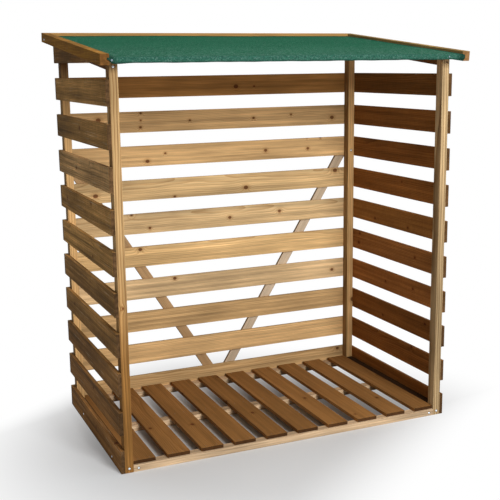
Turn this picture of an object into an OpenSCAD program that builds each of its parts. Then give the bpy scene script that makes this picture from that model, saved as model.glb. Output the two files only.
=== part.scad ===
// Slatted timber log store with a felted lean-to roof that falls towards its open front.
// Millimetres, +Z up, front towards -Y. The origin is on the ground, under the middle of the whole store.

/* [Overall] */
// Width over the side slats
width = 1500; // [900:10:2400]
// Depth from the front faces of the front posts to the rear faces of the rear posts
depth = 835; // [500:5:1200]
// Height of the underside of the roof at the front posts
eaves_h = 1592; // [1400:1:2000]
// Fall of the roof towards the front, in degrees
roof_pitch = 6.1; // [3:0.1:12]

/* [Timber] */
// Narrow face of the framing timber
frame_t = 34; // [28:1:50]
// Wide face of the framing timber
frame_w = 44; // [36:1:75]
// Face width of a slat
slat_w = 95; // [70:1:125]
// Thickness of a slat
slat_t = 15; // [10:1:22]

/* [Walls] */
// Gap between one wall slat and the next
slat_gap = 63; // [30:1:90]
// Least height at the eaves that is left of a slat cut to the roof
least_cut = 10; // [5:1:30]

/* [Back braces] */
// Face width of a brace
brace_w = 46; // [30:1:70]
// Row of back slats, counted from the ground, that the upper end of a brace is fixed to
brace_row = 8; // [5:1:8]
// Length of a brace past its upper fixing
brace_end = 20; // [10:1:22]
// Gap between the two braces at their feet
brace_foot_gap = 6; // [2:1:40]
// Height of the feet of the braces above the ground
brace_foot_h = 12; // [5:1:40]

/* [Floor] */
// Thickness of a floor rail
floor_rail_t = 28; // [22:1:44]
// Gap aimed at between floor slats, evened out across the floor
floor_gap = 50; // [20:1:80]
// Distance of the ends of the floor slats from the outer faces of the floor rails
floor_setback = 10; // [5:1:25]

/* [Roof] */
// Overhang of the roof past the front posts, along the slope
roof_front = 70; // [30:1:150]
// Overhang of the roof past the rear posts, along the slope
roof_rear = 90; // [75:1:160]
// Thickness of the roof deck
deck_t = 9; // [6:1:18]
// Thickness of the felt
felt_t = 2; // [1.5:0.5:4]
// Height of the felt that is folded down over the front edge
felt_fold = 21; // [16:1:50]
// Width of a trim batten, seen from above
trim_w = 34; // [20:1:50]
// Height of a trim batten
trim_h = 40; // [30:1:60]
// Height of the trim battens above the felt
trim_proud = 12; // [2:1:14]

/* [Hidden] */

// Heights and rows of the wall slats
slat_pitch = slat_w + slat_gap;
slat_rows = floor((eaves_h - least_cut) / slat_pitch) + 1;

// Faces of the frame across the store
post_out = width / 2 - slat_t;
post_in = post_out - frame_t;

// Extents of the roof along its slope and square to it, from the underside of the deck at the front posts
slope_front = -roof_front;
slope_rear = depth / cos(roof_pitch) + roof_rear;
felt_top = deck_t + felt_t;
trim_top = felt_top + trim_proud;
trim_base = trim_top - trim_h;

// Faces of the frame front to back, with the roof centred over the origin
roof_reach = (slope_rear - slope_front) * cos(roof_pitch) + trim_h * sin(roof_pitch);
front_y = -roof_reach / 2 + roof_front * cos(roof_pitch) + trim_top * sin(roof_pitch);
rear_y = front_y + depth;
back_y = rear_y + slat_t;

// Floor slats that fill the width between the posts
floor_w = 2 * post_in;
floor_count = round((floor_w + floor_gap) / (slat_w + floor_gap));
floor_step = (floor_w - slat_w) / (floor_count - 1);

// Line of the right brace, from the middle of the ground to the middle of a slat at the rear post
brace_top_x = (post_in + post_out) / 2;
brace_top_z = (brace_row - 1) * slat_pitch + slat_w / 2;
brace_angle = atan2(brace_top_z, brace_top_x);
brace_len = norm([brace_top_x, brace_top_z]) + brace_end;

// Colours of the timber and the felt
frame_colour = [0.72, 0.56, 0.36];
slat_colour = [0.66, 0.47, 0.27];
deck_colour = [0.55, 0.40, 0.25];
felt_colour = [0.10, 0.36, 0.24];

// Far beyond any piece, for half spaces
far = 10 * max(width, depth, eaves_h);

function row_name(wall, row) = str(wall, "_slat_", row < 10 ? "0" : "", row);

// Puts children into the plane of the roof: Y along the slope, Z square to it
module on_roof() {
    translate([0, front_y, eaves_h]) rotate([roof_pitch, 0, 0]) children();
}

// Keeps what lies below the underside of the roof deck
module below_roof() {
    intersection() {
        children();
        on_roof() translate([-far / 2, -far / 2, -far]) cube(far);
    }
}

// Repeats children on the left and on the right
module both_sides() {
    for (side = [0, 1]) mirror([side, 0, 0]) children();
}

// Post with its top cut to the slope of the roof, on the right unless side is 1
module post(y, side) {
    color(frame_colour) below_roof() mirror([side, 0, 0])
        translate([post_in, y, 0]) cube([frame_t, frame_w, far / 2]);
}

module front_left_post() { post(front_y, 1); }
module front_right_post() { post(front_y, 0); }
module rear_left_post() { post(rear_y - frame_w, 1); }
module rear_right_post() { post(rear_y - frame_w, 0); }

// Rails under the sides of the roof, plumb cut between the posts
module side_top_rails() {
    color(frame_colour) both_sides() intersection() {
        on_roof() translate([post_in, 0, -frame_w]) cube([frame_t, slope_rear, frame_w]);
        translate([post_in, front_y + frame_w, 0]) cube([frame_t, depth - 2 * frame_w, far / 2]);
    }
}

// Rails on the ground between the posts of each side
module side_bottom_rails() {
    color(frame_colour) both_sides() translate([post_in, front_y + frame_w, 0])
        cube([frame_t, depth - 2 * frame_w, frame_w]);
}

// Slat on the right, nailed to the outer faces of the posts, with the top row cut to the roof
module side_slat(row) {
    base = (row - 1) * slat_pitch;
    color(slat_colour) {
        if (base + slat_w > eaves_h) below_roof() side_board(base);
        else side_board(base);
    }
}

module side_board(base) {
    translate([post_out, front_y, base]) cube([slat_t, depth, slat_w]);
}

// Slat on the rear faces of the rear posts, over the ends of the side slats
module back_slat(row) {
    base = (row - 1) * slat_pitch;
    color(slat_colour) {
        if (base + slat_w > eaves_h) below_roof() back_board(base);
        else back_board(base);
    }
}

module back_board(base) {
    translate([-width / 2, rear_y, base]) cube([width, slat_t, slat_w]);
}

// Two slanting boards on the rear of the back slats, in a V with its foot in the middle
module back_braces() {
    color(slat_colour) both_sides() intersection() {
        translate([0, back_y, 0]) rotate([0, -brace_angle, 0])
            translate([-brace_w, 0, -brace_w / 2]) cube([brace_len + brace_w, slat_t, brace_w]);
        translate([brace_foot_gap / 2, back_y, brace_foot_h]) cube([width, slat_t, far / 2]);
    }
}

// Rail across the floor, lying flat between the posts
module floor_rail(y) {
    color(frame_colour) translate([-post_in, y, 0]) cube([floor_w, frame_w, floor_rail_t]);
}

module floor_front_rail() { floor_rail(front_y); }

module floor_rails() {
    floor_rail(front_y + (depth - frame_w) / 2);
    floor_rail(rear_y - frame_w);
}

// Slats of the floor, front to back on the rails
module floor_slats() {
    color(slat_colour) for (i = [0:floor_count - 1])
        translate([-post_in + i * floor_step, front_y + floor_setback, floor_rail_t])
            cube([slat_w, depth - 2 * floor_setback, slat_t]);
}

// Board deck that carries the felt, up to the trims
module roof_deck() {
    color(deck_colour) on_roof() translate([-width / 2, slope_front + felt_t, 0])
        cube([width, slope_rear - trim_w - slope_front - felt_t, deck_t]);
}

// Felt on the deck, folded down over its front edge
module roof_felt() {
    color(felt_colour) on_roof() {
        rotate([90, 0, 90]) linear_extrude(width, center = true) polygon([
            [slope_rear - trim_w, felt_top],
            [slope_front, felt_top],
            [slope_front, felt_top - felt_fold],
            [slope_front + felt_t, felt_top - felt_fold],
            [slope_front + felt_t, deck_t],
            [slope_rear - trim_w, deck_t]
        ]);
    }
}

// Batten along the right edge of the roof
module side_trim() {
    color(frame_colour) on_roof() translate([width / 2, slope_front, trim_base])
        cube([trim_w, slope_rear - slope_front, trim_h]);
}

module roof_left_trim() { mirror([1, 0, 0]) side_trim(); }
module roof_right_trim() { side_trim(); }

// Batten along the rear edge of the roof, between the side trims
module roof_back_trim() {
    color(frame_colour) on_roof() translate([-width / 2, slope_rear - trim_w, trim_base])
        cube([width, trim_w, trim_h]);
}

front_left_post();
front_right_post();
rear_left_post();
rear_right_post();
side_top_rails();
side_bottom_rails();
for (row = [1:slat_rows]) {
    mirror([1, 0, 0]) side_slat(row);
    side_slat(row);
    back_slat(row);
}
back_braces();
floor_front_rail();
floor_rails();
floor_slats();
roof_deck();
roof_felt();
roof_left_trim();
roof_right_trim();
roof_back_trim();
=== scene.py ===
import math
import random
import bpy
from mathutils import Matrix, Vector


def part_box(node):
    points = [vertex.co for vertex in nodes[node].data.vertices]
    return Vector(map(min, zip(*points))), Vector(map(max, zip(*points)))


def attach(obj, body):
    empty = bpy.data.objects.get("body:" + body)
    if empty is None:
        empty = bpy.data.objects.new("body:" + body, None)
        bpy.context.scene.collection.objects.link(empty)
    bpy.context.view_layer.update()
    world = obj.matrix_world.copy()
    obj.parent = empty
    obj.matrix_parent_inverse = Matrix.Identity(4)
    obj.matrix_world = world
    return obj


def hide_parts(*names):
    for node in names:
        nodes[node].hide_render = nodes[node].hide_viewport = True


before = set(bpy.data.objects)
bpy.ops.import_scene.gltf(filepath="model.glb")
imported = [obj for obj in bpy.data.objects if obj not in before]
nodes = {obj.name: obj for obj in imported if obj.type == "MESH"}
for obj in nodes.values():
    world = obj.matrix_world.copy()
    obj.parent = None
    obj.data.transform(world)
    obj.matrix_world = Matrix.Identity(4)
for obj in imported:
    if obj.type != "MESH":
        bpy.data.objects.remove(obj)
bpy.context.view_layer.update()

from types import SimpleNamespace

import bmesh
import bpy
from mathutils import Matrix, Vector

# Everything is in metres and radians, with +Z up and the open front of the store towards -Y
scene = bpy.context.scene
rng = random.Random(7)

AXES = {"X": 0, "Y": 1, "Z": 2}
SIDES = (-1, 1)
FRONT = Vector((0, -1, 0))
BACK = Vector((0, 1, 0))
UP = Vector((0, 0, 1))
WHITE = (1.0, 1.0, 1.0, 1.0)

# Counts that the boxes of the nodes don't give
FLOOR_COUNT = 10
BRACE_TOP_ROW = 8

# Sizes and places of the frame and the walls, from the boxes of the nodes
post_lo, post_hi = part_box("front_right_post")
rear_post_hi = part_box("rear_right_post")[1]
slat_lo, slat_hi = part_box("right_slat_01")
floor_lo, floor_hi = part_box("floor_slats")
FRONT_Y = post_lo.y
REAR_Y = rear_post_hi.y
BACK_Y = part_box("back_slat_01")[1].y
BRACE_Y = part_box("back_braces")[1].y
POST_IN = post_lo.x
POST_MID = (post_lo.x + post_hi.x) / 2
WALL_OUT = slat_hi.x
FRAME_W = post_hi.y - post_lo.y
SLAT_W = slat_hi.z - slat_lo.z
SLAT_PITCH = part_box("right_slat_02")[0].z - slat_lo.z
ROWS = sum(name.startswith("back_slat_") for name in nodes)
FLOOR_STEP = (floor_hi.x - floor_lo.x - SLAT_W) / (FLOOR_COUNT - 1)

# The plane of the roof: its underside slopes up from the tops of the front posts to those of the rear ones
ROOF_PITCH = math.atan2(rear_post_hi.z - post_hi.z, rear_post_hi.y - post_hi.y)
EAVES = post_hi.z - FRAME_W * math.tan(ROOF_PITCH)
ROOF = Matrix.Translation((0, FRONT_Y, EAVES)) @ Matrix.Rotation(ROOF_PITCH, 4, "X")
ROOF_TURN = ROOF.to_3x3()


def on_roof(x, along, height):
    """A point given across the store, along the slope and square to it."""
    return ROOF @ Vector((x, along, height))


def roof_box(node):
    """Lowest and highest corner of a roof node, along the slope and square to it."""
    back = ROOF.inverted()
    points = [back @ v.co for v in nodes[node].data.vertices]
    lowest = Vector([min(p[i] for p in points) for i in range(3)])
    highest = Vector([max(p[i] for p in points) for i in range(3)])
    return lowest, highest


deck_lo, deck_hi = roof_box("roof_deck")
felt_lo, felt_hi = roof_box("roof_felt")
trim_lo, trim_hi = roof_box("roof_right_trim")
back_trim_hi = roof_box("roof_back_trim")[1]


def row_middle(row):
    """Height of the middle of a row of wall slats, counted from 0 at the ground."""
    return row * SLAT_PITCH + SLAT_W / 2


BRACE_TILT = math.atan2(row_middle(BRACE_TOP_ROW - 1), POST_MID)

# Camera at the photograph's place and angle, with its lens and sensor in millimetres
CAMERA_PLACE = (-1.623, FRONT_Y - 3.287, 1.564)
CAMERA_YAW = -0.4108
CAMERA_PITCH = -0.1983
CAMERA_ROLL = -0.0128
CAMERA_LENS = 66.42
CAMERA_SENSOR = 36

camera_data = bpy.data.cameras.new("camera")
camera_data.sensor_width = CAMERA_SENSOR
camera_data.lens = CAMERA_LENS
camera = bpy.data.objects.new("camera", camera_data)
scene.collection.objects.link(camera)
camera.matrix_world = (
    Matrix.Translation(CAMERA_PLACE)
    @ Matrix.Rotation(CAMERA_YAW, 4, "Z")
    @ Matrix.Rotation(math.pi / 2 + CAMERA_PITCH, 4, "X")
    @ Matrix.Rotation(CAMERA_ROLL, 4, "Z")
)
scene.camera = camera
scene.view_settings.view_transform = "Standard"


def srgb(red, green, blue):
    """A colour as it looks on screen, 0 to 255, turned into the linear values that shaders take."""
    def linear(value):
        share = value / 255
        return share / 12.92 if share <= 0.04045 else ((share + 0.055) / 1.055) ** 2.4
    return (linear(red), linear(green), linear(blue), 1.0)


class Graph:
    """The node tree of a material or a world, with short ways to add nodes and link them."""

    def __init__(self, owner):
        owner.use_nodes = True
        self.owner = owner
        self.tree = owner.node_tree
        self.tree.nodes.clear()

    def put(self, socket, value):
        """Sets a socket: by a link from another socket, or to a constant."""
        if isinstance(value, bpy.types.NodeSocket):
            self.tree.links.new(value, socket)
        else:
            socket.default_value = value

    def add(self, kind, settings=None, **inputs):
        """A new node with its settings, and with values for its inputs by name."""
        node = self.tree.nodes.new("ShaderNode" + kind)
        for key, value in (settings or {}).items():
            setattr(node, key, value)
        for key, value in inputs.items():
            self.put(node.inputs[key.replace("_", " ")], value)
        return node

    def math(self, operation, first, second=0.0, third=0.0):
        node = self.add("Math", {"operation": operation})
        for socket, value in zip(node.inputs, (first, second, third)):
            self.put(socket, value)
        return node.outputs[0]

    def product(self, first, *others):
        for other in others:
            first = self.math("MULTIPLY", first, other)
        return first

    def length(self, first, second):
        """Length of the line whose two parts, square to each other, are given."""
        squares = self.math("ADD", self.math("POWER", first, 2.0), self.math("POWER", second, 2.0))
        return self.math("SQRT", squares)

    def sway(self, value, amount):
        """A brightness round 1, from a value between 0 and 1."""
        return self.math("MULTIPLY_ADD", self.math("SUBTRACT", value, 0.5), amount, 1.0)

    def span(self, value, low, high):
        """Smooth step from 0 at low to 1 at high."""
        node = self.add("MapRange", {"interpolation_type": "SMOOTHSTEP"})
        for socket, number in zip(node.inputs, (value, low, high)):
            self.put(socket, number)
        return node.outputs[0]

    def place(self):
        return self.add("TexCoord").outputs["Object"]

    def split(self, vector):
        return self.add("SeparateXYZ", Vector=vector).outputs

    def join(self, x, y, z):
        return self.add("CombineXYZ", X=x, Y=y, Z=z).outputs[0]

    def stretch(self, parts, scales):
        """A vector whose three parts are scaled one by one."""
        return self.join(*[self.math("MULTIPLY", part, scale) for part, scale in zip(parts, scales)])

    def noise(self, vector, scale=1.0, detail=3.0, roughness=0.5):
        node = self.add("TexNoise", Vector=vector, Scale=scale, Detail=detail, Roughness=roughness)
        return node.outputs[0]

    def dice(self, colour):
        """Three random numbers out of a random colour."""
        return self.add("SeparateColor", Color=colour).outputs

    def mix(self, factor, first, second, blend="MIX"):
        node = self.add("Mix", {"data_type": "RGBA", "blend_type": blend})
        self.put(node.inputs[0], factor)
        self.put(node.inputs[6], first)
        self.put(node.inputs[7], second)
        return node.outputs[2]

    def tint(self, colour, tint):
        return self.mix(1.0, colour, tint, "MULTIPLY")

    def shaded(self, colour, brightness):
        grey = self.add("CombineColor", Red=brightness, Green=brightness, Blue=brightness)
        return self.tint(colour, grey.outputs[0])

    def seen(self):
        """1 for rays that show a surface, straight, mirrored or through glass, and 0 for rays of light."""
        rays = self.add("LightPath").outputs
        shown = self.math("MAXIMUM", rays["Is Camera Ray"], rays["Is Glossy Ray"])
        return self.math("MAXIMUM", shown, rays["Is Transmission Ray"])

    def output(self, kind, shader):
        out = self.add(kind)
        self.put(out.inputs["Surface"], shader.outputs[0])
        return self.owner

    def finish(self, colour, roughness, height, bump, distance, **fixed):
        """Ends a material in a plain shader with a fine bump. fixed are constants for its other inputs."""
        normal = self.add("Bump", Strength=bump, Distance=distance, Height=height).outputs[0]
        shader = self.add("BsdfPrincipled", Base_Color=colour, Roughness=roughness, Normal=normal, **fixed)
        return self.output("OutputMaterial", shader)


# Specular level of matt surfaces
MATT = 0.03


def new_graph(name):
    return Graph(bpy.data.materials.new(name))


# Timber: colours and scales that all of it shares. Scales are along the grain, across it and into the board.
KNOT_COLOUR = srgb(92, 49, 26)
SCRATCH_COLOUR = srgb(206, 184, 150)
SLAT_END = srgb(92, 66, 40)
FRAME_END = srgb(150, 108, 64)
FIBRE_SCALES = (7.0, 420.0, 420.0)
STREAK_SCALES = (1.4, 70.0, 70.0)
CLOUD_SCALES = (2.2, 9.0, 9.0)
SAWN_SCALES = (90.0, 25.0, 60.0)
SCRATCH_SCALES = (4.0, 120.0, 120.0)
WANDER_SCALES = (1.6, 5.0, 1.0)
FIBRE_SWAY = 0.45
STREAK_SWAY = 0.6
CLOUD_SWAY = 0.6
FIBRE_HEIGHT = 0.6
LATE_HEIGHT = 0.35
WOOD_ROUGHNESS = 0.62
FIBRE_ROUGHNESS = 0.2
# Zones, as the values where each starts and is complete
SCRATCH_ZONE = (0.6, 0.72)
FACING_ZONE = (0.7, 0.9)

# Share of a step by which a board's number starts early, so that no edge of a board lies on the limit
BOARD_SLACK = 0.2
# Length of timber out of which each board gets a stretch of its own
TRUNK_LENGTH = 9.0
# Keeps the numbers that choose a board's luck off whole ones
SEED_SHIFT = 0.37

# Growth rings, round a pith that lies behind the face
RING_GAP = 0.0056
POST_RING_GAP = 0.011
END_RING_GAP = 0.004
END_RING_LIGHT = 1.1
END_RING_FALL = -0.4
LATE_SHARPNESS = 2.2
PITH_ACROSS_LEAST = 0.03
PITH_ACROSS_SPREAD = 0.12
PITH_DEPTH_LEAST = 0.02
PITH_DEPTH_SPREAD = 0.05
RING_FOLD = 0.03
RING_WANDER = 0.04
RING_SWIRL = 0.028
SWIRL_FALL = -0.7

# Knots: scattered ones to the metre, their radius, and how much shorter they count along the grain
KNOTS_ALONG = 3.1
KNOTS_ACROSS = 6.5
KNOT_LEAST = 0.004
KNOT_SPREAD = 0.006
KNOT_STRETCH = 0.8
# Dark core of a knot at a chosen place, as a share of the radius that is listed for it
KNOT_CORE = 0.8
# Radii by which a cell without a knot pushes it away
KNOT_FAR = 50.0
# Radii where the halo and the core of a knot start and are complete, their strength and the rings in the core
HALO_ZONE = (2.8, 1.0)
HALO_STRENGTH = 0.4
CORE_ZONE = (1.15, 0.8)
CORE_STRENGTH = 0.85
CORE_RINGS = 16.0
CORE_RING_SWAY = 0.12

# Timber in the low band, painted shade on the left slats and at the head of the rear left post: brightness of
# its early and late wood
LOW_LIGHT = 1.13
LOW_DARK = 0.6
# Painted shade on the narrow sides of the rear posts: their brightness
REAR_POST_FLANK_SHADE = 0.55


def board_place(g, grain, face, board, seed, tilt):
    """Where a point lies in its board, with the board's number and three random numbers of its own."""
    parts = g.split(g.place())
    across_axis = (set(AXES) - {grain, face}).pop()
    along = parts[AXES[grain]]
    across = parts[AXES[across_axis]]
    if tilt:
        reach = g.math("ABSOLUTE", parts[0])
        rise_along = g.math("MULTIPLY", parts[2], math.sin(tilt))
        rise_across = g.math("MULTIPLY", parts[2], math.cos(tilt))
        along = g.math("MULTIPLY_ADD", reach, math.cos(tilt), rise_along)
        across = g.math("MULTIPLY_ADD", reach, -math.sin(tilt), rise_across)
    number = 0.0
    local = across
    if board:
        axis, start, step = board
        steps = g.math("DIVIDE", g.math("SUBTRACT", parts[AXES[axis]], start), step)
        number = g.math("FLOOR", g.math("ADD", steps, BOARD_SLACK))
        if axis == across_axis:
            local = g.math("SUBTRACT", across, g.math("MULTIPLY_ADD", number, step, start + SLAT_W / 2))
    luck = g.add("TexWhiteNoise", {"noise_dimensions": "1D"}, W=g.math("ADD", number, seed + SEED_SHIFT))
    return SimpleNamespace(
        along=along,
        across=across,
        depth=parts[AXES[face]],
        height=parts[2],
        across_axis=across_axis,
        number=number,
        local=local,
        run=g.math("MULTIPLY_ADD", luck.outputs["Value"], TRUNK_LENGTH, along),
        chances=g.dice(luck.outputs["Color"]),
    )


def knot_distance(g, spot, knots, chance):
    """Distance in radii from the nearest knot, be it scattered, one to a cell, or at a chosen place."""
    cell_along = g.math("MULTIPLY", spot.run, KNOTS_ALONG)
    cell_across = g.math("MULTIPLY", spot.across, KNOTS_ACROSS)
    cell = g.join(cell_along, cell_across, 0.0)
    scatter = g.add("TexVoronoi", {"voronoi_dimensions": "2D"}, Vector=cell, Scale=1.0)
    gap = g.add("VectorMath", {"operation": "SUBTRACT"})
    g.put(gap.inputs[0], cell)
    g.put(gap.inputs[1], scatter.outputs["Position"])
    gaps = g.split(gap.outputs[0])
    from_along = g.math("MULTIPLY", gaps[0], KNOT_STRETCH / KNOTS_ALONG)
    from_across = g.math("MULTIPLY", gaps[1], 1.0 / KNOTS_ACROSS)
    dice = g.dice(scatter.outputs["Color"])
    radius = g.math("MULTIPLY_ADD", dice[1], KNOT_SPREAD, KNOT_LEAST)
    missing = g.math("MULTIPLY", g.math("GREATER_THAN", dice[0], chance), KNOT_FAR)
    nearest = g.math("ADD", g.math("DIVIDE", g.length(from_along, from_across), radius), missing)
    for knot_along, knot_across, knot_radius in knots:
        from_along = g.math("MULTIPLY", g.math("SUBTRACT", spot.along, knot_along), KNOT_STRETCH)
        from_across = g.math("SUBTRACT", spot.across, knot_across)
        away = g.math("DIVIDE", g.length(from_along, from_across), knot_radius * KNOT_CORE)
        nearest = g.math("MINIMUM", nearest, away)
    return nearest


def growth_rings(g, spot, knot, ring_gap):
    """Late wood, from 0 to 1 across each ring, and distance from the pith. Waves and knots bend the rings."""
    pith_across = g.math("MULTIPLY_ADD", spot.chances[0], PITH_ACROSS_SPREAD, PITH_ACROSS_LEAST)
    pith_depth = g.math("MULTIPLY_ADD", spot.chances[1], PITH_DEPTH_SPREAD, PITH_DEPTH_LEAST)
    ring_across = g.math("SUBTRACT", spot.local, pith_across)
    ring_depth = g.math("ADD", g.math("PINGPONG", spot.depth, RING_FOLD), pith_depth)
    from_pith = g.length(ring_across, ring_depth)
    wander = g.noise(g.stretch((spot.run, spot.local, spot.depth), WANDER_SCALES))
    swirl = g.math("EXPONENT", g.math("MULTIPLY", knot, SWIRL_FALL))
    ring = g.math("MULTIPLY_ADD", wander, RING_WANDER, from_pith)
    ring = g.math("MULTIPLY_ADD", swirl, RING_SWIRL, ring)
    phase = g.math("FRACT", g.math("DIVIDE", ring, ring_gap))
    return g.math("POWER", phase, LATE_SHARPNESS), from_pith


def wood(name, grain, face, light, dark, end, board=None, knots=(), tone=0.3, chance=0.5, seed=0.0,
         wear=0.0, low=None, tilt=0.0, contrast=1.0, figure=0.62, tints=None, ring_gap=RING_GAP,
         scratches=0.0, flank_shade=1.0):
    """Softwood with growth rings, fibres and knots.

    grain is the axis along the boards and face the axis square to their faces. light, dark and end are the
    colours of early wood, late wood and end grain. board gives the axis, start and step that tell one board
    from the next, so that each has its own figure, and tints colours single boards, by number from 0.
    knots are (along, across, radius), and chance is the share of cells that hold a scattered one.
    low gives a colour that the timber takes on, and the heights where that starts and is complete; on the
    left slats and at the head of the rear left post it is painted shade.
    tilt leans the grain in a V. tone is how far the boards differ, contrast and figure are the strength of
    the fibres and of the rings, wear that of saw marks and scratches that of thin pale marks along the grain.
    flank is the brightness of the narrow sides, painted shade.
    """
    g = new_graph(name)
    spot = board_place(g, grain, face, board, seed, tilt)
    in_grain = (spot.run, spot.across, spot.depth)
    knot = knot_distance(g, spot, knots, chance)
    late, from_pith = growth_rings(g, spot, knot, ring_gap)

    # Brightness: fine fibres, streaks, slow blotches, the tone of each board and saw marks
    fibre = g.noise(g.stretch(in_grain, FIBRE_SCALES), roughness=0.6)
    streak = g.noise(g.stretch(in_grain, STREAK_SCALES), detail=2.0)
    cloud = g.noise(g.stretch(in_grain, CLOUD_SCALES))
    shade = g.product(
        g.sway(fibre, FIBRE_SWAY * contrast),
        g.sway(streak, STREAK_SWAY * contrast),
        g.sway(cloud, CLOUD_SWAY * contrast),
        g.sway(spot.chances[2], tone),
    )
    if wear > 0:
        sawn = g.noise(g.stretch(in_grain, SAWN_SCALES), detail=2.0)
        shade = g.math("MULTIPLY", shade, g.sway(sawn, wear))

    # Colour of the rings, of single boards, a few of them darkened as painted shade, and of the low band, in
    # most places painted shade
    rings = g.math("MULTIPLY", late, figure)
    colour = g.mix(rings, light, dark)
    for number, tint in (tints or {}).items():
        chosen = g.math("COMPARE", spot.number, number, 0.5)
        colour = g.mix(chosen, colour, g.tint(colour, tint))
    # Colour between two heights: painted shade on the left slats and at the head of the rear left post,
    # darker and browner toward the foot on the front left post
    if low:
        low_colour, low_from, low_to = low
        low_light = [LOW_LIGHT * value for value in low_colour]
        low_dark = [LOW_DARK * value for value in low_colour]
        colour = g.mix(g.span(spot.height, low_from, low_to), colour, g.mix(rings, low_light, low_dark))

    # Knots, with a dark halo and rings in the core, and scratches
    halo = g.math("MULTIPLY", g.span(knot, *HALO_ZONE), HALO_STRENGTH)
    colour = g.mix(halo, colour, dark)
    core_wave = g.math("SINE", g.math("MULTIPLY", knot, CORE_RINGS))
    core = g.math("MULTIPLY_ADD", core_wave, CORE_RING_SWAY, CORE_STRENGTH)
    colour = g.mix(g.math("MULTIPLY", g.span(knot, *CORE_ZONE), core), colour, KNOT_COLOUR)
    if scratches > 0:
        thin = g.noise(g.stretch(in_grain, SCRATCH_SCALES), detail=2.0, roughness=0.6)
        marks = g.math("MULTIPLY", g.span(thin, *SCRATCH_ZONE), scratches)
        colour = g.mix(marks, colour, SCRATCH_COLOUR)

    # End grain where a face looks along the board, and painted shade on the narrow sides
    normal = g.split(g.add("NewGeometry").outputs["True Normal"])

    def looks_along(axis):
        return g.span(g.math("ABSOLUTE", normal[AXES[axis]]), *FACING_ZONE)

    end_phase = g.math("FRACT", g.math("DIVIDE", from_pith, END_RING_GAP))
    end_colour = g.shaded(end, g.math("MULTIPLY_ADD", end_phase, END_RING_FALL, END_RING_LIGHT))
    colour = g.mix(looks_along(grain), colour, end_colour)
    # Narrow sides darkened: painted shade
    if flank_shade < 1.0:
        colour = g.mix(looks_along(spot.across_axis), colour, g.shaded(colour, flank_shade))

    colour = g.shaded(colour, shade)
    height = g.math("MULTIPLY_ADD", fibre, FIBRE_HEIGHT, g.math("MULTIPLY", late, LATE_HEIGHT))
    roughness = g.math("MULTIPLY_ADD", fibre, FIBRE_ROUGHNESS, WOOD_ROUGHNESS)
    return g.finish(colour, roughness, height, bump=0.35, distance=0.0012, Specular_IOR_Level=MATT)


# Knots that stand out on the back: across the store, height, radius
BACK_KNOTS = [
    (0.11, 1.463, 0.012), (0.205, 1.462, 0.005),
    (-0.567, 1.325, 0.012), (-0.367, 1.351, 0.006), (-0.368, 1.319, 0.005), (-0.37, 1.287, 0.007),
    (-0.128, 1.311, 0.006), (0.2, 1.311, 0.007), (0.402, 1.321, 0.006), (0.631, 1.299, 0.011),
    (-0.342, 1.129, 0.01), (-0.254, 1.162, 0.006), (0.263, 1.151, 0.009), (0.495, 1.15, 0.008),
    (0.49, 1.203, 0.005), (0.566, 1.2, 0.005),
    (0.155, 0.975, 0.012), (0.65, 1.031, 0.012), (-0.213, 0.955, 0.007), (-0.595, 0.982, 0.012),
    (-0.429, 0.881, 0.006), (0.067, 0.833, 0.009), (0.336, 0.845, 0.009),
    (-0.225, 0.558, 0.009), (0.635, 0.515, 0.009),
]
# On the right: distance behind the front, height, radius
RIGHT_KNOTS_IN = [
    (0.723, 0.715, 0.007), (0.733, 0.667, 0.01), (0.225, 0.682, 0.007),
    (0.472, 0.519, 0.006), (0.235, 0.531, 0.007), (0.131, 0.389, 0.008),
    (0.493, 0.343, 0.006), (0.237, 0.248, 0.007), (0.288, 0.812, 0.006),
    (0.347, 1.02, 0.005), (0.579, 0.814, 0.006),
]
RIGHT_KNOTS = [(FRONT_Y + behind, height, radius) for behind, height, radius in RIGHT_KNOTS_IN]
# On the front left post: height, place across the store, radius
LEFT_POST_KNOTS = [(0.666, -POST_MID, 0.005)]

# Boards that are paler or darker than the rest, by number from the ground or from the left
BACK_TINTS = {
    3: (1.1, 1.2, 1.4, 1.0),
    4: (1.4, 1.44, 1.44, 1.0),
    5: (1.0, 1.08, 1.2, 1.0),
    6: (0.98, 1.04, 1.1, 1.0),
    # Number 9, the top board: darker and browner, painted shadow of the roof
    9: (0.8, 0.64, 0.44, 1.0),
}
LEFT_TINTS = {
    3: (1.12, 1.14, 1.1, 1.0),
    5: (1.3, 1.32, 1.3, 1.0),
    7: (1.15, 1.25, 1.6, 1.0),
    # Number 10, the short top slat: darker, painted shadow under the trim
    10: (0.5, 0.46, 0.42, 1.0),
}
RIGHT_TINTS = {
    3: (1.2, 1.22, 1.35, 1.0),
    4: (1.18, 1.25, 1.45, 1.0),
    5: (1.35, 1.5, 1.6, 1.0),
    8: (1.15, 1.2, 1.25, 1.0),
    9: (0.75, 0.85, 0.95, 1.0),
}
BRACE_TINTS = {
    0: (0.85, 0.76, 0.66, 1.0),
    1: (1.0, 1.12, 1.4, 1.0),
}

# What tells one board from the next: axis, start, step
slat_board = ("Z", slat_lo.z, SLAT_PITCH)
floor_board = ("X", floor_lo.x, FLOOR_STEP)
# The braces are numbers 0 and 1, left and right of the middle
brace_board = ("X", BOARD_SLACK - 1.0, 1.0)

back_wood = wood(
    "back_slat_wood", "X", "Y", srgb(206, 170, 120), srgb(156, 110, 60), SLAT_END,
    slat_board, BACK_KNOTS, chance=0.1, seed=11.0, contrast=2.1, tints=BACK_TINTS,
)
# Left slats, outer faces: darker and browner than the back slats, in part painted shade, and darker still
# toward the ground, painted shade near the floor
left_wood = wood(
    "left_slat_wood", "Y", "X", srgb(174, 132, 78), srgb(126, 92, 52), srgb(92, 68, 44),
    slat_board, seed=23.0, wear=0.7, low=(srgb(138, 98, 56), 1.0, 0.1), contrast=3.4, figure=0.8,
    tone=0.4, tints=LEFT_TINTS, scratches=0.45,
)
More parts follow.
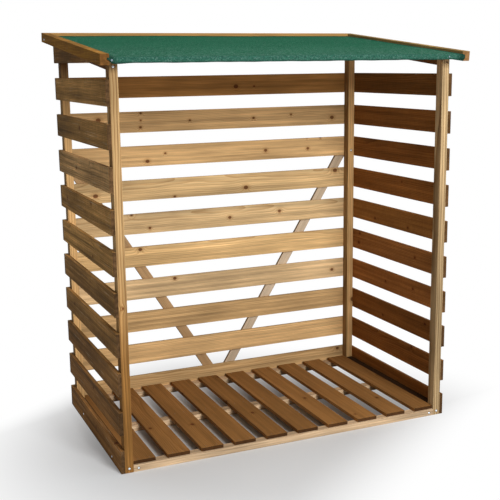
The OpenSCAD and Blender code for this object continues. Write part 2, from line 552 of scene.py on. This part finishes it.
# Right slats, seen on their inner faces: darker and redder than the back slats, in part painted shade
right_wood = wood(
    "right_slat_wood", "Y", "X", srgb(148, 98, 50), srgb(110, 66, 30), SLAT_END,
    slat_board, RIGHT_KNOTS, seed=29.0, chance=0.0, wear=0.3, contrast=1.9, figure=0.8, tints=RIGHT_TINTS,
)
brace_wood = wood(
    "brace_wood", "X", "Y", srgb(200, 172, 134), srgb(158, 122, 80), srgb(140, 104, 64),
    brace_board, seed=31.0, tilt=BRACE_TILT, tints=BRACE_TINTS,
)
post_wood = wood(
    "post_wood", "Z", "Y", srgb(194, 166, 124), srgb(118, 84, 48), FRAME_END,
    seed=41.0, chance=0.15, contrast=2.0, figure=0.9, ring_gap=POST_RING_GAP,
)
left_post_wood = wood(
    "left_post_wood", "Z", "Y", srgb(184, 151, 105), srgb(116, 78, 40), FRAME_END,
    knots=LEFT_POST_KNOTS, seed=43.0, chance=0.0, low=(srgb(136, 96, 50), 1.0, 0.35), contrast=2.0,
    figure=0.9, ring_gap=POST_RING_GAP,
)
# The narrow sides of both rear posts are darkened: painted shade
rear_post_wood, rear_left_post_wood = [
    wood(
        name, "Z", "Y", srgb(208, 168, 114), srgb(146, 104, 58), FRAME_END,
        seed=47.0, chance=0.15, low=low, contrast=1.4, ring_gap=POST_RING_GAP, flank_shade=REAR_POST_FLANK_SHADE,
    )
    # The head of the rear left post turns dark: painted shadow of the roof
    for name, low in (("rear_post_wood", None), ("rear_left_post_wood", (srgb(96, 60, 32), 1.48, 1.6)))
]
rail_wood = wood(
    "rail_wood", "X", "Y", srgb(189, 163, 131), srgb(152, 120, 88), FRAME_END,
    seed=53.0, chance=0.15, contrast=2.6,
)
side_rail_wood = wood(
    "side_rail_wood", "Y", "X", srgb(112, 76, 42), srgb(84, 54, 28), FRAME_END, seed=59.0,
)
# Bottom rails near black: painted shade of the gap between the side walls and the floor
shaded_bottom_rail_wood = wood(
    "shaded_bottom_rail_wood", "Y", "X", srgb(56, 38, 24), srgb(40, 27, 16), srgb(120, 86, 52), seed=67.0,
)
floor_wood = wood(
    "floor_slat_wood", "Y", "Z", srgb(148, 106, 60), srgb(108, 70, 34), srgb(76, 50, 28),
    floor_board, seed=61.0, contrast=1.4,
)
left_trim_wood = wood(
    "left_trim_wood", "Y", "X", srgb(158, 112, 46), srgb(100, 64, 20), srgb(124, 84, 42),
    seed=71.0, wear=0.6, contrast=2.6, figure=0.8,
)
# The right trim: paler than the left one, painted light on its inner face, which lies in shade
right_trim_wood = wood(
    "right_trim_wood", "Y", "X", srgb(174, 142, 88), srgb(122, 92, 50), srgb(154, 114, 72),
    seed=79.0, wear=0.6, contrast=2.0, figure=0.8,
)
back_trim_wood = wood(
    "back_trim_wood", "X", "Y", srgb(182, 140, 84), srgb(140, 98, 50), srgb(136, 94, 52),
    seed=73.0, contrast=1.8,
)
deck_wood = wood(
    "deck_board_wood", "X", "Z", srgb(176, 136, 88), srgb(140, 100, 58), srgb(140, 100, 58), seed=83.0,
)

# Felt: how many granules, clumps, specks and blotches there are to the metre
GRAIN_SCALE = 420.0
CLUMP_SCALE = 300.0
FINE_SCALE = 260.0
MOTTLE_SCALE = 120.0
MOTTLE_STRETCH = (1.0, 0.25, 1.0)
FELT_CLOUD_SCALE = 6.0
# Zones of the sheet and of its flecks, as where each starts and is complete
FRONT_ZONE = (FRONT_Y + 0.5, FRONT_Y - 0.06)
HEM_ZONE = (FRONT_Y - 0.05, FRONT_Y - 0.069)
# Bands of painted shade along the trims, where they meet the felt, at the sides and at the rear
SIDE_JOINT_SHADE = (felt_hi.x - 0.034, felt_hi.x - 0.006)
rear_edge = (ROOF @ felt_hi).y
REAR_JOINT_SHADE = (rear_edge - 0.06, rear_edge - 0.01)
hem_edge = (ROOF @ felt_lo).z
# Band of painted shade along the lower edge of the hem
HEM_EDGE_SHADE = (hem_edge + 0.007, hem_edge + 0.001)
FLECK_ZONE = (0.5, 0.66)
# Strength of the soft flecks and of the pale granules, both in part painted glints, and how it changes on the
# hem
FLECK_STRENGTH = 0.24
FLECK_ON_HEM = -0.18
PALE_STRENGTH = 0.26
PALE_ON_HEM = -0.12
DARK_STRENGTH = 0.4
# Strength of the painted shade along the trims, and below that of the painted shade at the hem's lower edge
JOINT_SHADE_STRENGTH = 0.7
HEM_EDGE_SHADE_STRENGTH = 0.65
# Share of the clumps that are pale, and as many that are dark, with more near the front and on the hem; the
# added pale ones near the front are painted glints
ODD_SHARE = 0.04
ODD_NEAR_FRONT = 0.12
ODD_ON_HEM = 0.03
FINE_SWAY = 0.9
GRAIN_SWAY = 0.6
GRAIN_HEIGHT = 0.8
FELT_ROUGHNESS = 0.9


def felt_material():
    """Green bitumen felt faced with mineral granules, some of them pale, with painted glints as more pale
    granules and flecks near the front.
    """
    g = new_graph("mineral_felt")
    place = g.place()
    parts = g.split(place)
    near_front = g.span(parts[1], *FRONT_ZONE)
    on_hem = g.span(parts[1], *HEM_ZONE)
    grains = g.add("TexVoronoi", Vector=place, Scale=GRAIN_SCALE)
    clumps = g.add("TexVoronoi", Vector=place, Scale=CLUMP_SCALE)
    grain_dice = g.dice(grains.outputs["Color"])
    clump_dice = g.dice(clumps.outputs["Color"])
    cloud = g.noise(place, FELT_CLOUD_SCALE, detail=4.0)
    fine = g.noise(place, FINE_SCALE, detail=2.0, roughness=0.6)
    mottle = g.noise(g.stretch(parts, MOTTLE_STRETCH), MOTTLE_SCALE, detail=1.0)

    # Green ground, with a greyer hem and soft pale flecks near the front, painted glints
    colour = g.mix(cloud, srgb(24, 81, 58), srgb(34, 95, 70))
    colour = g.mix(on_hem, colour, srgb(44, 88, 73))
    fleck_strength = g.math("MULTIPLY_ADD", on_hem, FLECK_ON_HEM, FLECK_STRENGTH)
    flecks = g.product(near_front, fleck_strength, g.span(mottle, *FLECK_ZONE))
    colour = g.mix(flecks, colour, srgb(112, 150, 138))
    colour = g.shaded(colour, g.product(g.sway(fine, FINE_SWAY), g.sway(grain_dice[0], GRAIN_SWAY)))

    # Single granules, pale and dark; the pale ones near the front are in part painted glints
    share = g.math("MULTIPLY_ADD", near_front, ODD_NEAR_FRONT, ODD_SHARE)
    share = g.math("MULTIPLY_ADD", on_hem, ODD_ON_HEM, share)
    pale = g.math("GREATER_THAN", clump_dice[0], g.math("SUBTRACT", 1.0, share))
    pale = g.math("MULTIPLY", pale, g.math("MULTIPLY_ADD", on_hem, PALE_ON_HEM, PALE_STRENGTH))
    colour = g.mix(pale, colour, srgb(150, 178, 170))
    dark = g.math("LESS_THAN", clump_dice[1], share)
    colour = g.mix(g.math("MULTIPLY", dark, DARK_STRENGTH), colour, srgb(16, 46, 40))

    # Painted shade along the trims, where they meet the felt, and at the lower edge of the hem
    side_joint_shade = g.span(g.math("ABSOLUTE", parts[0]), *SIDE_JOINT_SHADE)
    rear_joint_shade = g.span(parts[1], *REAR_JOINT_SHADE)
    joint_shade = g.math("MULTIPLY", g.math("MAXIMUM", side_joint_shade, rear_joint_shade), JOINT_SHADE_STRENGTH)
    colour = g.mix(joint_shade, colour, srgb(12, 40, 30))
    # The lower edge of the hem darkened: painted shade
    hem_edge_shade = g.math("MULTIPLY", g.span(parts[2], *HEM_EDGE_SHADE), HEM_EDGE_SHADE_STRENGTH)
    colour = g.mix(hem_edge_shade, colour, srgb(18, 44, 34))

    height = g.math("SUBTRACT", fine, g.math("MULTIPLY", grains.outputs["Distance"], GRAIN_HEIGHT))
    return g.finish(colour, FELT_ROUGHNESS, height, bump=0.12, distance=0.0006, Specular_IOR_Level=MATT)


def speckled(name, scale, first, second, roughness, spread=0.0, bump=0.1, distance=0.0002, metallic=0.5):
    """Surface that is mottled between two tones. spread is how much rougher the second one is."""
    g = new_graph(name)
    speck = g.noise(g.place(), scale)
    if spread > 0:
        roughness = g.math("MULTIPLY_ADD", speck, spread, roughness)
    return g.finish(g.mix(speck, first, second), roughness, speck, bump, distance, Metallic=metallic)


felt_finish = felt_material()
# Bright zinc on the screws, duller zinc on the nails and tacks, and a dark rim round a sunk screw: crushed
# wood and painted shade of the hole
screw_steel = speckled("bright_steel", 900.0, srgb(222, 230, 236), srgb(244, 249, 252), 0.3, spread=0.2)
nail_steel = speckled("nail_steel", 300.0, srgb(96, 80, 60), srgb(150, 140, 124), 0.55)
tack_steel = speckled("tack_steel", 300.0, srgb(88, 102, 114), srgb(136, 150, 160), 0.55)
crushed = speckled(
    "crushed_and_shaded_wood", 700.0, srgb(52, 34, 18), srgb(104, 72, 42), 0.8, bump=0.3, distance=0.0005, metallic=0.0,
)

# Timber keeps its solids, with eased edges
EDGE_EASE = 0.0016
EASE_ANGLE = math.radians(40)
WELD_GAP = 0.00005
FINISHES = {
    "front_left_post": left_post_wood,
    "front_right_post": post_wood,
    "rear_left_post": rear_left_post_wood,
    "rear_right_post": rear_post_wood,
    "side_top_rails": side_rail_wood,
    "side_bottom_rails": shaded_bottom_rail_wood,
    "back_braces": brace_wood,
    "floor_front_rail": rail_wood,
    "floor_rails": rail_wood,
    "floor_slats": floor_wood,
    "roof_left_trim": left_trim_wood,
    "roof_right_trim": right_trim_wood,
    "roof_back_trim": back_trim_wood,
}
for row in range(1, ROWS + 1):
    FINISHES[f"left_slat_{row:02d}"] = left_wood
    FINISHES[f"right_slat_{row:02d}"] = right_wood
    FINISHES[f"back_slat_{row:02d}"] = back_wood

for name, finish in FINISHES.items():
    timber = nodes[name]
    timber.data.materials.clear()
    timber.data.materials.append(finish)
    weld = timber.modifiers.new("weld", "WELD")
    weld.merge_threshold = WELD_GAP
    ease = timber.modifiers.new("eased_edges", "BEVEL")
    ease.width = EDGE_EASE
    ease.segments = 2
    ease.limit_method = "ANGLE"
    ease.angle_limit = EASE_ANGLE


def new_piece(name, mesh_maker, finish):
    """Makes a mesh piece of the store and lets it ride on the frame."""
    bm = bmesh.new()
    mesh_maker(bm)
    bmesh.ops.recalc_face_normals(bm, faces=bm.faces)
    mesh = bpy.data.meshes.new(name)
    bm.to_mesh(mesh)
    bm.free()
    mesh.materials.append(finish)
    piece = bpy.data.objects.new(name, mesh)
    scene.collection.objects.link(piece)
    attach(piece, "root")
    return piece


# Boards of the roof deck
DECK_BOARDS = 8
DECK_GAP = 0.0015
DECK_EASE = 0.0012


def make_deck(bm):
    """A row of boards that fills the deck, with eased edges."""
    step = (deck_hi.y - deck_lo.y) / DECK_BOARDS
    size = Vector((deck_hi.x - deck_lo.x, step - DECK_GAP, deck_hi.z - deck_lo.z))
    for i in range(DECK_BOARDS):
        centre = Vector((0, deck_lo.y + (i + 0.5) * step, (deck_lo.z + deck_hi.z) / 2))
        place = ROOF @ Matrix.Translation(centre) @ Matrix.Diagonal((*size, 1))
        made = bmesh.ops.create_cube(bm, size=1, matrix=place)
        edges = list({e for v in made["verts"] for e in v.link_edges})
        bmesh.ops.bevel(bm, geom=edges, offset=DECK_EASE, segments=2, affect="EDGES", profile=0.5)


deck = new_piece("roof_deck_boards", make_deck, deck_wood)
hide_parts("roof_deck")

# Felt, laid over the deck and folded down at the front with a soft, uneven hem
FELT_T = felt_hi.z - deck_hi.z
FELT_DROP = felt_hi.z - felt_lo.z
FELT_COLUMNS = 300
FELT_ROWS = 60
FOLD_RADIUS = 0.007
FOLD_STEPS = 8
HEM_STEPS = 10
# The hem's lower edge: a curl up at the left end, a sag at the left post and a lower right end
CURL_RISE = 0.012
CURL_W = 0.012
SAG = 0.002
SAG_W = 0.03
RIGHT_HANG = 0.007
# Shallow waves in that edge: height, radians to the metre, start
HEM_WAVES = ((0.0004, 23.0, 0.0), (0.0003, 61.0, 1.0))
# Laps of the hem over the ends of the trims, which lift it by a share of their width
TUCK_LAP = 0.009
TUCK_REACH = 0.02
TUCK_LIFT = 0.25
# How far the sheet stands off the deck and the hem off the front edge, with creases mostly at the right
BED_LIFT = 0.001
BED_WAVE = 0.0005
HEM_LIFT = 0.0012
# Waves on the deck: radians to the metre across the store and along the slope
BED_WAVES = ((9.0, 4.0), (4.1, -11.0))
# Creases: depth, radians to the metre, and a slower wave that makes them uneven
CREASE = 0.0022
CREASE_TURN = 160.0
UNEVEN = 2.0
UNEVEN_TURN = 47.0
CREASE_LEAST = 0.15
CREASE_FROM = 0.35
CREASE_FULL = 0.65


def felt_path(drop):
    """Outer face of the felt along the slope: rear edge, deck, round fold and a hem of the given depth."""
    points = []
    flat_end = felt_lo.y + FOLD_RADIUS
    for i in range(FELT_ROWS + 1):
        points.append((felt_hi.y + (flat_end - felt_hi.y) * i / FELT_ROWS, felt_hi.z))
    for i in range(1, FOLD_STEPS + 1):
        turn = math.pi / 2 * i / FOLD_STEPS
        along = flat_end - FOLD_RADIUS * math.sin(turn)
        points.append((along, felt_hi.z - FOLD_RADIUS * (1 - math.cos(turn))))
    for i in range(1, HEM_STEPS + 1):
        points.append((felt_lo.y, felt_hi.z - FOLD_RADIUS - (drop - FOLD_RADIUS) * i / HEM_STEPS))
    return points


def hem_drop(x):
    """Depth of the hem: level between the posts, shorter at the left end and lower at the right end."""
    left_end = max(0.0, -x - (WALL_OUT - CURL_W)) / CURL_W
    left_sag = math.exp(-((x + POST_MID) / SAG_W) ** 2)
    right_end = max(0.0, x - POST_IN) / (WALL_OUT - POST_IN)
    waver = sum(size * math.sin(x * turn + start) for size, turn, start in HEM_WAVES)
    return FELT_DROP - CURL_RISE * left_end ** 2 + SAG * left_sag + RIGHT_HANG * right_end + waver


def tuck(x, fold):
    """How far the ends of the hem lap over the ends of the trims, most at half its height."""
    near_left = max(0.0, 1 - (x - felt_lo.x) / TUCK_REACH)
    near_right = max(0.0, 1 - (felt_hi.x - x) / TUCK_REACH)
    return TUCK_LAP * (near_right - near_left) * math.sin(math.pi * fold)


def stand_off(x, along, fold):
    """How far the felt stands off its bed. fold runs from 0 on the deck to 1 at the edge of the hem."""
    waves = sum(math.sin(x * across_turn + along * along_turn) for across_turn, along_turn in BED_WAVES)
    bed = BED_LIFT + BED_WAVE * waves
    crease = CREASE * (1 + math.sin(x * CREASE_TURN + UNEVEN * math.sin(x * UNEVEN_TURN)))
    right = max(0.0, min(1.0, (x - CREASE_FROM) / (CREASE_FULL - CREASE_FROM)))
    hem = HEM_LIFT + crease * (CREASE_LEAST + (1 - CREASE_LEAST) * right)
    return bed + fold * hem + abs(tuck(x, fold)) * TUCK_LIFT


def make_felt(bm):
    """The outer face of the sheet, in lines from the rear edge to the hem."""
    lines = []
    for column in range(FELT_COLUMNS + 1):
        x = felt_lo.x + (felt_hi.x - felt_lo.x) * column / FELT_COLUMNS
        line = []
        for i, (along, height) in enumerate(felt_path(hem_drop(x))):
            past_deck = max(0, i - FELT_ROWS)
            fold = past_deck / (FOLD_STEPS + HEM_STEPS)
            turn = min(1.0, past_deck / FOLD_STEPS) * math.pi / 2
            off = stand_off(x, along, fold)
            point = on_roof(x + tuck(x, fold), along - off * math.sin(turn), height + off * math.cos(turn))
            line.append(bm.verts.new(point))
        lines.append(line)
    for first, second in zip(lines, lines[1:]):
        for a, b, c, d in zip(first, first[1:], second[1:], second):
            bm.faces.new((a, d, c, b))


felt = new_piece("roof_felt_sheet", make_felt, felt_finish)
for polygon in felt.data.polygons:
    polygon.use_smooth = True
body = felt.modifiers.new("thickness", "SOLIDIFY")
body.thickness = FELT_T
body.offset = -1
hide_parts("roof_felt")

# Heads of screws, nails and tacks: radius, rise, and depth of the cross recess
SCREW_HEAD = (0.0047, 0.0011, 0.0009)
FILLED_HEAD = (0.0047, 0.0005, 0.0)
NAIL_HEAD = (0.002, 0.0006, 0.0)
TACK_HEAD = (0.0038, 0.0009, 0.0)
HEAD_SIDES = 24
MERGE_GAP = 1e-6
# Rings of a head and the arms of the cross, as shares of the radius
HEAD_RINGS = (0.0, 0.16, 0.32, 0.5, 0.64, 0.82, 1.0)
CROSS_WIDTH = 0.1
CROSS_REACH = 0.5
# Section of the dark rim round a screw, crushed wood and painted shade: share of its radius, height
RIM_PROFILE = ((0.95, 0.0001), (1.35, 0.0003), (1.35, -0.0008), (0.95, -0.0008))


def facing(point, normal):
    """A frame at a point, with Z along the normal."""
    return Matrix.Translation(point) @ Vector(normal).to_track_quat("Z", "Y").to_matrix().to_4x4()


def circle(radius):
    """Points x, y round a head."""
    angles = [2 * math.pi * side / HEAD_SIDES for side in range(HEAD_SIDES)]
    return [(radius * math.cos(angle), radius * math.sin(angle)) for angle in angles]


def bridge(bm, first, second):
    """Faces between two rings of vertices."""
    for a, b, c, d in zip(first, second, second[1:] + second[:1], first[1:] + first[:1]):
        bm.faces.new((a, b, c, d))


def add_head(bm, place, radius, rise, recess):
    """Low domed head, closed below, with a cross-shaped recess if recess is above zero."""
    rings = []
    for share in HEAD_RINGS:
        ring = []
        for x, y in circle(radius * share):
            in_cross = min(abs(x), abs(y)) < radius * CROSS_WIDTH and share < CROSS_REACH
            z = rise * (1 - share ** 3) - (recess if in_cross else 0.0)
            ring.append(bm.verts.new(place @ Vector((x, y, z))))
        rings.append(ring)
    rings.append([bm.verts.new(place @ Vector((x, y, -rise))) for x, y in circle(radius)])
    for inner, outer in zip(rings, rings[1:]):
        bridge(bm, inner, outer)
    bm.faces.new(rings[-1])
    bmesh.ops.remove_doubles(bm, verts=rings[0], dist=MERGE_GAP)


def add_rim(bm, place, radius):
    """Thin dished ring round a screw, closed below the face."""
    rings = []
    for share, height in RIM_PROFILE:
        rings.append([bm.verts.new(place @ Vector((x, y, height))) for x, y in circle(radius * share)])
    for inner, outer in zip(rings, rings[1:] + rings[:1]):
        bridge(bm, inner, outer)


# Places of the screws
POST_FOOT_Z = 0.018
POST_HEAD_Z = 1.563
REAR_POST_Z = 1.133
RAIL_END_IN = 0.021
RAIL_END_Z = 0.014
# On the lowest side slats: distance behind the front, height
SLAT_SCREWS = ((0.142, 0.018), (0.615, 0.033))
# On the trims: distance from an end and height square to the slope
TRIM_END_IN = 0.057
TRIM_Z = -0.002
BACK_TRIM_SHARES = (-0.9, -0.3, 0.3, 0.9)
BACK_TRIM_Z = 0.004
# The filled screw sits to the right of the middle of its post
FILLED_SHIFT = 0.004

screws = []
for side in SIDES:
    out = (side, 0, 0)
    # At the feet of the front posts, near the ends of the floor rail and up the rear posts
    screws.append(((side * POST_MID, FRONT_Y, POST_FOOT_Z), FRONT))
    screws.append(((side * (POST_IN - RAIL_END_IN), FRONT_Y, RAIL_END_Z), FRONT))
    screws.append(((side * POST_MID, REAR_Y - FRAME_W, REAR_POST_Z), FRONT))
    # Through the lowest slat into the bottom rail
    for behind, height in SLAT_SCREWS:
        screws.append(((side * WALL_OUT, FRONT_Y + behind, height), out))
    # Through the rear ends of the trims
    screws.append((on_roof(side * trim_hi.x, trim_hi.y - TRIM_END_IN, TRIM_Z), out))
# At the heads of the front posts, where the right one is sunk and filled
screws.append(((-POST_MID, FRONT_Y, POST_HEAD_Z), FRONT))
filled = ((POST_MID + FILLED_SHIFT, FRONT_Y, POST_HEAD_Z), FRONT)
# Through the braces into the back slats, and into the rear trim
for row in range(BRACE_TOP_ROW):
    height = row_middle(row)
    for side in SIDES:
        screws.append(((side * height / math.tan(BRACE_TILT), BRACE_Y, height), BACK))
for share in BACK_TRIM_SHARES:
    screws.append((on_roof(share * back_trim_hi.x, back_trim_hi.y, BACK_TRIM_Z), ROOF_TURN @ BACK))

# Places of the nails: distance from the ends of the slats, heights up a slat, and most that chance shifts one
NAIL_IN = 0.022
NAIL_RISES = (0.022, 0.073)
NAIL_JITTER = 0.003
# Least distance of a nail below the roof
ROOF_CLEAR = 0.01
FLOOR_NAIL_IN = 0.014
FLOOR_NAIL_SHARES = (0.25, 0.75)

nails = []
for side in SIDES:
    for along in (trim_lo.y + TRIM_END_IN, (trim_lo.y + trim_hi.y) / 2):
        nails.append((on_roof(side * trim_hi.x, along, TRIM_Z), (side, 0, 0)))
for row in range(ROWS):
    for rise in NAIL_RISES:
        height = row * SLAT_PITCH + rise
        for side in SIDES:
            for y in (FRONT_Y + NAIL_IN, REAR_Y - NAIL_IN):
                roof_here = EAVES + (y - FRONT_Y) * math.tan(ROOF_PITCH)
                if height + ROOF_CLEAR < roof_here:
                    nails.append(((side * WALL_OUT, y, height), (side, 0, 0)))
            nails.append(((side * POST_MID, BACK_Y, height), BACK))
floor_nails_y = (floor_lo.y + FLOOR_NAIL_IN, (floor_lo.y + floor_hi.y) / 2, floor_hi.y - FLOOR_NAIL_IN)
for i in range(FLOOR_COUNT):
    for share in FLOOR_NAIL_SHARES:
        x = floor_lo.x + i * FLOOR_STEP + share * SLAT_W
        for y in floor_nails_y:
            nails.append(((x, y, floor_hi.z), UP))

# Broad-headed tacks that hold the felt along the trims and its hem at the front
TACK_IN = 0.043
TACK_SHARE = 0.7
TACK_LIFT = 0.001
HEM_TACKS_X = (-0.741, 0.682)
HEM_TACK_FOLD = 0.58

tacks = []
for side in SIDES:
    along = felt_lo.y + (felt_hi.y - felt_lo.y) * TACK_SHARE
    tacks.append((on_roof(side * (felt_hi.x - TACK_IN), along, felt_hi.z + TACK_LIFT), ROOF_TURN @ UP))
for x in HEM_TACKS_X:
    along = felt_lo.y - stand_off(x, felt_lo.y, HEM_TACK_FOLD)
    tacks.append((on_roof(x, along, (felt_lo.z + felt_hi.z) / 2), ROOF_TURN @ FRONT))


def make_screws(bm):
    """Screw heads, each turned by chance."""
    for point, normal in screws:
        spin = Matrix.Rotation(rng.uniform(0, math.pi), 4, "Z")
        add_head(bm, facing(point, normal) @ spin, *SCREW_HEAD)


def make_rims(bm):
    """Crushed wood with painted shade round the screws and in the filled hole."""
    for point, normal in screws:
        add_rim(bm, facing(point, normal), SCREW_HEAD[0])
    add_head(bm, facing(*filled), *FILLED_HEAD)


def make_nails(bm):
    """Nail heads, each a little off its place."""
    for point, normal in nails:
        jitter = [rng.uniform(-NAIL_JITTER, NAIL_JITTER) for axis in range(2)]
        add_head(bm, facing(point, normal) @ Matrix.Translation((*jitter, 0)), *NAIL_HEAD)


def make_tacks(bm):
    """Tack heads."""
    for point, normal in tacks:
        add_head(bm, facing(point, normal), *TACK_HEAD)


new_piece("screw_heads", make_screws, screw_steel)
new_piece("screw_rims", make_rims, crushed)
new_piece("nail_heads", make_nails, nail_steel)
new_piece("tack_heads", make_tacks, tack_steel)

# Pale floor that fades to white round the store, and beside a band of shade that runs to the front left
FLOOR_REACH = 30.0
FLOOR_COLOUR = (0.73, 0.745, 0.755, 1.0)
# Middle of the fade round the store, and the distances from it where it starts and is complete
FADE_X = -0.14
FADE_Y = -0.35
FADE_FROM = 0.4
FADE_TO = 1.4
# Direction square to the band, and the distances from its middle where it starts to fade and has faded
BAND_X = 0.6
BAND_Y = -0.8
BAND_FROM = 0.5
BAND_TO = 0.95


def floor_material():
    """Matt floor that takes the shadow, and glows white where it has faded, only where it is seen."""
    g = new_graph("studio_floor")
    parts = g.split(g.place())
    away = g.length(g.math("SUBTRACT", parts[0], FADE_X), g.math("SUBTRACT", parts[1], FADE_Y))
    beside = g.math("MULTIPLY_ADD", parts[0], BAND_X, g.math("MULTIPLY", parts[1], BAND_Y))
    outside = g.span(g.math("ABSOLUTE", beside), BAND_FROM, BAND_TO)
    fade = g.math("MAXIMUM", g.span(away, FADE_FROM, FADE_TO), outside)
    matt = g.add("BsdfDiffuse", Color=FLOOR_COLOUR)
    glow = g.add("Emission", Color=WHITE, Strength=1.0)
    blend = g.add("MixShader")
    g.put(blend.inputs[0], g.math("MULTIPLY", fade, g.seen()))
    g.put(blend.inputs[1], matt.outputs[0])
    g.put(blend.inputs[2], glow.outputs[0])
    return g.output("OutputMaterial", blend)


floor_mesh = bpy.data.meshes.new("studio_floor")
corners = [(x * FLOOR_REACH, y * FLOOR_REACH, 0) for x, y in ((-1, -1), (1, -1), (1, 1), (-1, 1))]
floor_mesh.from_pydata(corners, [], [(0, 1, 2, 3)])
floor_mesh.materials.append(floor_material())
floor = bpy.data.objects.new("studio_floor", floor_mesh)
scene.collection.objects.link(floor)

# World: white where it is seen, plain soft light to the store
AMBIENT = 0.18
world_graph = Graph(bpy.data.worlds.new("studio"))
strength = world_graph.add("MapRange", Value=world_graph.seen(), To_Min=AMBIENT, To_Max=1.0)
background = world_graph.add("Background", Color=WHITE, Strength=strength.outputs[0])
scene.world = world_graph.output("OutputWorld", background)


def soft_box(name, place, target, width, height, power):
    """Area lamp that looks at a point."""
    data = bpy.data.lights.new(name, "AREA")
    data.shape = "RECTANGLE"
    data.size = width
    data.size_y = height
    data.energy = power
    lamp = bpy.data.objects.new(name, data)
    scene.collection.objects.link(lamp)
    aim = Vector(target) - Vector(place)
    lamp.matrix_world = Matrix.Translation(place) @ aim.to_track_quat("-Z", "Y").to_matrix().to_4x4()


soft_box("key_light", place=(0.6, -5.2, 3.0), target=(0, 0, 0.9), width=1.6, height=1.7, power=268)
soft_box("top_light", place=(0.2, -0.6, 4.6), target=(0, 0, 1.0), width=3.0, height=3.0, power=60)
